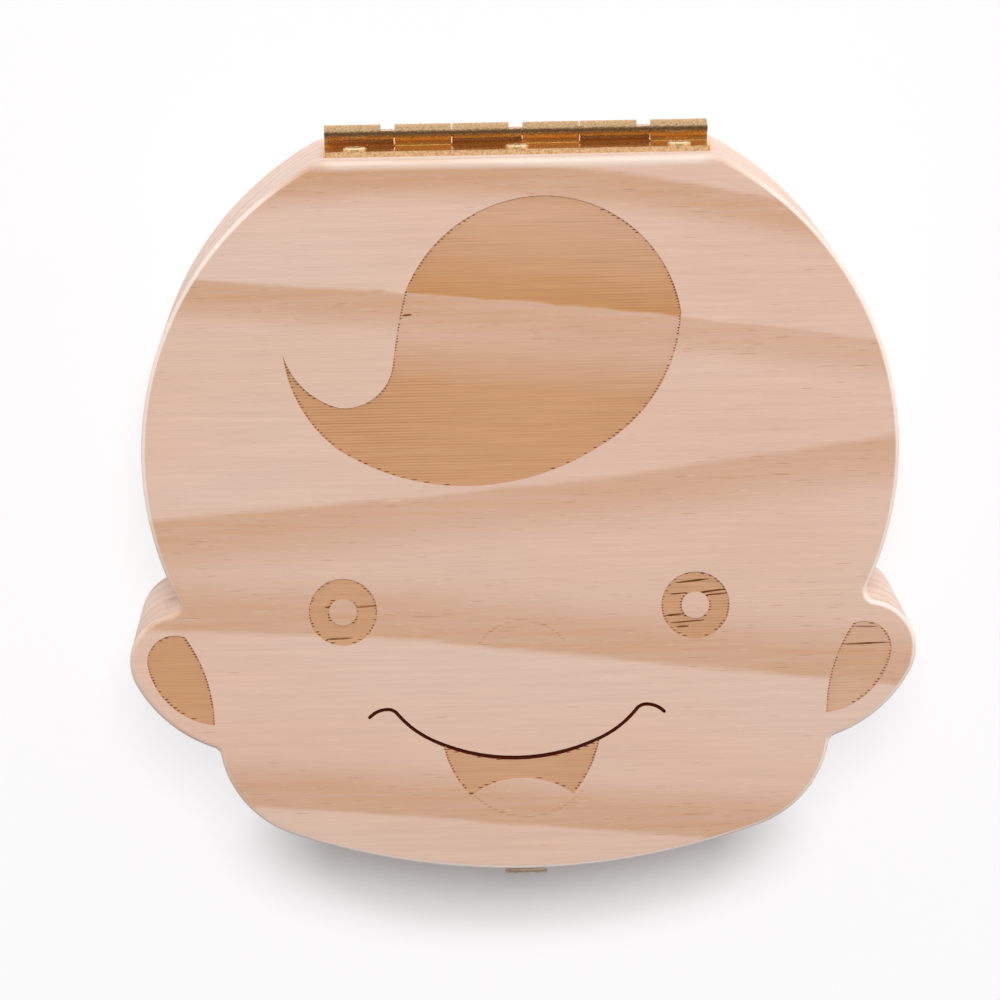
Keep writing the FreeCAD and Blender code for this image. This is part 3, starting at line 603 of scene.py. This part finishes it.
def addBurns(look):
    material = charMaterial(look)
    floor = lidTop - engraving["depth"]
    ends = passEnds(fieldEdges(), look, engraving["pitch"])
    few, many = look["stations"]
    points, faces = burnStrips(ends, np.full(len(ends), look["dashWidth"]), few, floor, look)
    addPiece("engraving_outline", points, faces, material, "lid")
    fibres = np.array(look["fibres"])
    points, faces = burnStrips(fibres[:, :4].reshape(-1, 2, 2), fibres[:, 4], many, floor, look)
    addPiece("charred_fibres", points, faces, material, "lid")
    print("burn marks:", len(ends), "passes,", len(fibres), "fibres")


addBurns(burns)


# brass

hingeBrass = {
    "name": "brass_plated_stamped", "bright": "#DDB98E", "dull": "#B08A58",
    "scratch": (0.7, 0.4, 0.4), "spot": 0.28, "rough": (0.16, 0.32), "bump": 0.7, "metallic": 1.0,
    # painted shade: deeper gold between barrel and wood, from y to y, and a duller sheared upper edge, mm
    "valleyShade": "#EAAA58", "valleySpan": (57.0, 56.3), "valleyMetallic": 0.87,
    "edgeMetallic": 0.30, "edgeAbove": leafTop - 0.05}
nailBrass = {
    "name": "brass_polished", "bright": "#F3DDAE", "dull": "#DDBE84",
    "scratch": (0.5, 0.5, 0.5), "spot": 0.8, "rough": (0.2, 0.35), "bump": 0.1, "metallic": 0.7}
claspBrass = {
    "name": "brass_antique_plated", "bright": "#DCC4AC", "dull": "#BCA48C",
    "scratch": (0.9, 0.9, 0.9), "spot": 1.4, "rough": (0.3, 0.5), "bump": 0.2, "metallic": 0.3}
# parts of the noises that show, their detail, and the depth of a pit in mm
plating = {"worn": (0.42, 0.7), "scratchSpan": (0.3, 0.7), "detail": 3.0, "pit": 0.06}


def brassMaterial(look):
    # plated sheet: soft reflections broken by fine scratches and dull spots, sizes in mm
    material, tree, shader = newMaterial(look["name"])
    where = addNode(tree, "ShaderNodeTexCoord").outputs["Object"]
    scales = tuple(1 / (size * mm) for size in look["scratch"])
    cells = addNode(tree, "ShaderNodeMapping", {0: where, 3: scales})
    detail = plating["detail"]
    scratch = addNode(tree, "ShaderNodeTexNoise", {"Vector": cells, "Scale": 1.0, "Detail": detail})
    scale = 1 / (look["spot"] * mm)
    spot = addNode(tree, "ShaderNodeTexNoise", {"Vector": where, "Scale": scale, "Detail": detail})
    low, high = plating["worn"]
    worn = addNode(tree, ramp, {0: spot, 1: low, 2: high})
    (low, high), (smooth, coarse) = plating["scratchSpan"], look["rough"]
    rough = addNode(tree, ramp, {0: scratch, 1: low, 2: high, 3: smooth, 4: coarse})
    bump = addNode(tree, "ShaderNodeBump", {
        "Height": spot, "Strength": look["bump"], "Distance": plating["pit"] * mm})
    tints = [(worn, look["dull"])]
    shader.inputs["Metallic"].default_value = look["metallic"]
    if "edgeAbove" in look:
        y, z = addNode(tree, "ShaderNodeSeparateXYZ", {0: where}).outputs[1:]
        edge = addNode(tree, calc, {0: z, 1: look["edgeAbove"] * mm}, operation="GREATER_THAN")
        # painted shade and reflection: a deeper, less metallic gold in the crevice between barrel and wood
        first, last = look["valleySpan"]
        valleyShade = addNode(tree, ramp, {0: y, 1: first * mm, 2: last * mm})
        metallic = addNode(tree, ramp, {0: valleyShade, 3: look["metallic"], 4: look["valleyMetallic"]})
        metallic = addNode(tree, ramp, {0: edge, 3: metallic, 4: look["edgeMetallic"]})
        tree.links.new(metallic.outputs[0], shader.inputs["Metallic"])
        face = addNode(tree, calc, {0: 1.0, 1: edge}, operation="SUBTRACT")
        valleyShade = addNode(tree, calc, {0: valleyShade, 1: face}, operation="MULTIPLY")
        tints.append((valleyShade, look["valleyShade"]))
    tree.links.new(layTints(tree, hexColor(look["bright"]), tints), shader.inputs["Base Color"])
    tree.links.new(rough.outputs[0], shader.inputs["Roughness"])
    tree.links.new(bump.outputs[0], shader.inputs["Normal"])
    return material


dress(["base_hinge_leaf", "lid_hinge_leaf", "hinge_pin"], brassMaterial(hingeBrass))
dress(["base_leaf_nails", "lid_leaf_nails", "clasp_plate_nails", "catch_plate_nails"],
      brassMaterial(nailBrass))
dress(["clasp_plate", "clasp_tongue", "clasp_pin", "catch_plate"], brassMaterial(claspBrass))
print("brass dressed")


# camera, floor and light

view = {
    "tilt": 11.841, "turn": -1.125, "roll": -0.941,     # degrees
    "distance": 650.0, "target": (-2.67, -3.065, 0.0),  # mm
    "lens": 147.53, "sensor": 36.0,
    "nearest": 0.01,                                    # m
}
studio = {
    "floor": "#FDFCFD", "floorReach": 3.0,
    "floorRough": 0.9,
    # painted light: the share of the floor that the camera sees as plain white, which washes out its shadow;
    # least in an oval under the chin, most away from it; the oval's middle (mm), how much less x counts than
    # y, and from and to which distance it grows (mm)
    "floorPaintedWhite": (0.18, 0.77),
    "chinSpot": (0.0, -62.0), "chinOval": 0.35, "chinSpan": (11.0, 17.5),
    "walls": "#F9FBFF", "ceiling": "#76695E", "behind": "#A09E9D",
    "ceilingSpan": (0.72, 0.86),    # heights of a direction where the walls end and the ceiling begins
    "behindSpan": (0.05, -0.40),    # how far it leans to the hinge where the darker half begins and is full
    "roomLight": 0.5,               # level of the room as a lamp; in a reflection it has level 1
    "lamps": {      # place (m), size (m), power (W)
        "softbox": ((0.03, 0.64, 1.38), 0.60, 19.0),
        "windowRight": ((1.00, 0.50, 0.13), 0.26, 3.1),
        "windowLeft": ((-1.05, 0.40, 0.13), 0.26, 1.35),
    },
}


def placeCamera(look):
    # looks at the target from above, leaning to the hinge side, then rolled about its own axis
    tilt, turn, roll = [math.radians(look[key]) for key in ("tilt", "turn", "roll")]
    back = np.array([math.sin(turn), math.sin(tilt) * math.cos(turn), math.cos(tilt) * math.cos(turn)])
    upward = np.array([0.0, 1.0, 0.0]) - back * back[1]
    upward /= np.linalg.norm(upward)
    right = np.cross(upward, back)
    turnedRight = math.cos(roll) * right + math.sin(roll) * upward
    turnedUp = math.cos(roll) * upward - math.sin(roll) * right
    spot = (np.array(look["target"]) + back * look["distance"]) * mm
    data = bpy.data.cameras.new("camera")
    data.lens, data.sensor_width, data.clip_start = look["lens"], look["sensor"], look["nearest"]
    camera = bpy.data.objects.new("camera", data)
    bpy.context.scene.collection.objects.link(camera)
    pose = np.eye(4)
    pose[:3] = np.stack([turnedRight, turnedUp, back, spot], 1)
    camera.matrix_world = Matrix(pose.tolist())
    bpy.context.scene.camera = camera


def placeStudio(look):
    # matt white paper, which shows no gloss and keeps a soft shadow under the box;
    # a painted white that only the camera sees washes that shadow out, least under the chin
    material, tree, shader = newMaterial("paper_matt_white")
    shader.inputs["Base Color"].default_value = hexColor(look["floor"])
    shader.inputs["Roughness"].default_value = look["floorRough"]
    glow = addNode(tree, "ShaderNodeEmission", {"Color": hexColor(look["floor"]), "Strength": 1.0})
    rays = addNode(tree, "ShaderNodeLightPath").outputs
    where = addNode(tree, "ShaderNodeTexCoord").outputs["Object"]
    narrow, (spotX, spotY) = look["chinOval"], look["chinSpot"]
    oval = addNode(tree, "ShaderNodeVectorMath", {0: where, 1: (narrow, 1.0, 0.0)}, operation="MULTIPLY")
    spot = (spotX * narrow * mm, spotY * mm, 0.0)
    away = addNode(tree, "ShaderNodeVectorMath", {0: oval, 1: spot}, operation="DISTANCE").outputs[1]
    first, last = look["chinSpan"]
    least, most = look["floorPaintedWhite"]
    share = addNode(tree, ramp, {0: away, 1: first * mm, 2: last * mm, 3: least, 4: most})
    # painted light: a white glow that only the camera sees, hiding the floor's shadow away from the chin
    white = addNode(tree, calc, {0: rays["Is Camera Ray"], 1: share}, operation="MULTIPLY")
    both = addNode(tree, "ShaderNodeMixShader", {0: white, 1: shader.outputs[0], 2: glow})
    output = next(item for item in tree.nodes if item.type == "OUTPUT_MATERIAL")
    tree.links.new(both.outputs[0], output.inputs["Surface"])
    far = look["floorReach"]
    corners = [(-far, -far, 0), (far, -far, 0), (far, far, 0), (-far, far, 0)]
    data = bpy.data.meshes.new("floor")
    data.from_pydata(corners, [], [(0, 1, 2, 3)])
    data.materials.append(material)
    floor = bpy.data.objects.new("floor", data)
    bpy.context.scene.collection.objects.link(floor)
    world = bpy.data.worlds.new("studio")
    bpy.context.scene.world = world
    world.use_nodes = True
    sky = next(item for item in world.node_tree.nodes if item.type == "BACKGROUND")
    # bright walls on the hinge side, darker behind the chin, and a dark ceiling above
    room = world.node_tree
    toward = addNode(room, "ShaderNodeTexCoord").outputs["Generated"]
    lean, height = addNode(room, "ShaderNodeSeparateXYZ", {0: toward}).outputs[1:]
    layers = []
    for key, part in (("behind", lean), ("ceiling", height)):
        first, last = look[key + "Span"]
        layers.append((addNode(room, ramp, {0: part, 1: first, 2: last}), look[key]))
    room.links.new(layTints(room, hexColor(look["walls"]), layers), sky.inputs["Color"])
    rays = addNode(room, "ShaderNodeLightPath").outputs
    seen = addNode(room, calc, {0: rays["Is Camera Ray"], 1: rays["Is Glossy Ray"]}, operation="MAXIMUM")
    level = addNode(room, ramp, {0: seen, 3: look["roomLight"], 4: 1.0})
    room.links.new(level.outputs[0], sky.inputs["Strength"])
    for name, (spot, size, power) in look["lamps"].items():
        lamp = bpy.data.objects.new(name, bpy.data.lights.new(name, "AREA"))
        lamp.data.shape, lamp.data.size, lamp.data.energy = "DISK", size, power
        lamp.location, lamp.visible_glossy = spot, False
        lamp.rotation_euler = (-Vector(spot)).to_track_quat("-Z", "Y").to_euler()
        bpy.context.scene.collection.objects.link(lamp)


placeCamera(view)
placeStudio(studio)
bpy.context.scene.view_settings.view_transform = "Standard"
print("camera and studio placed")
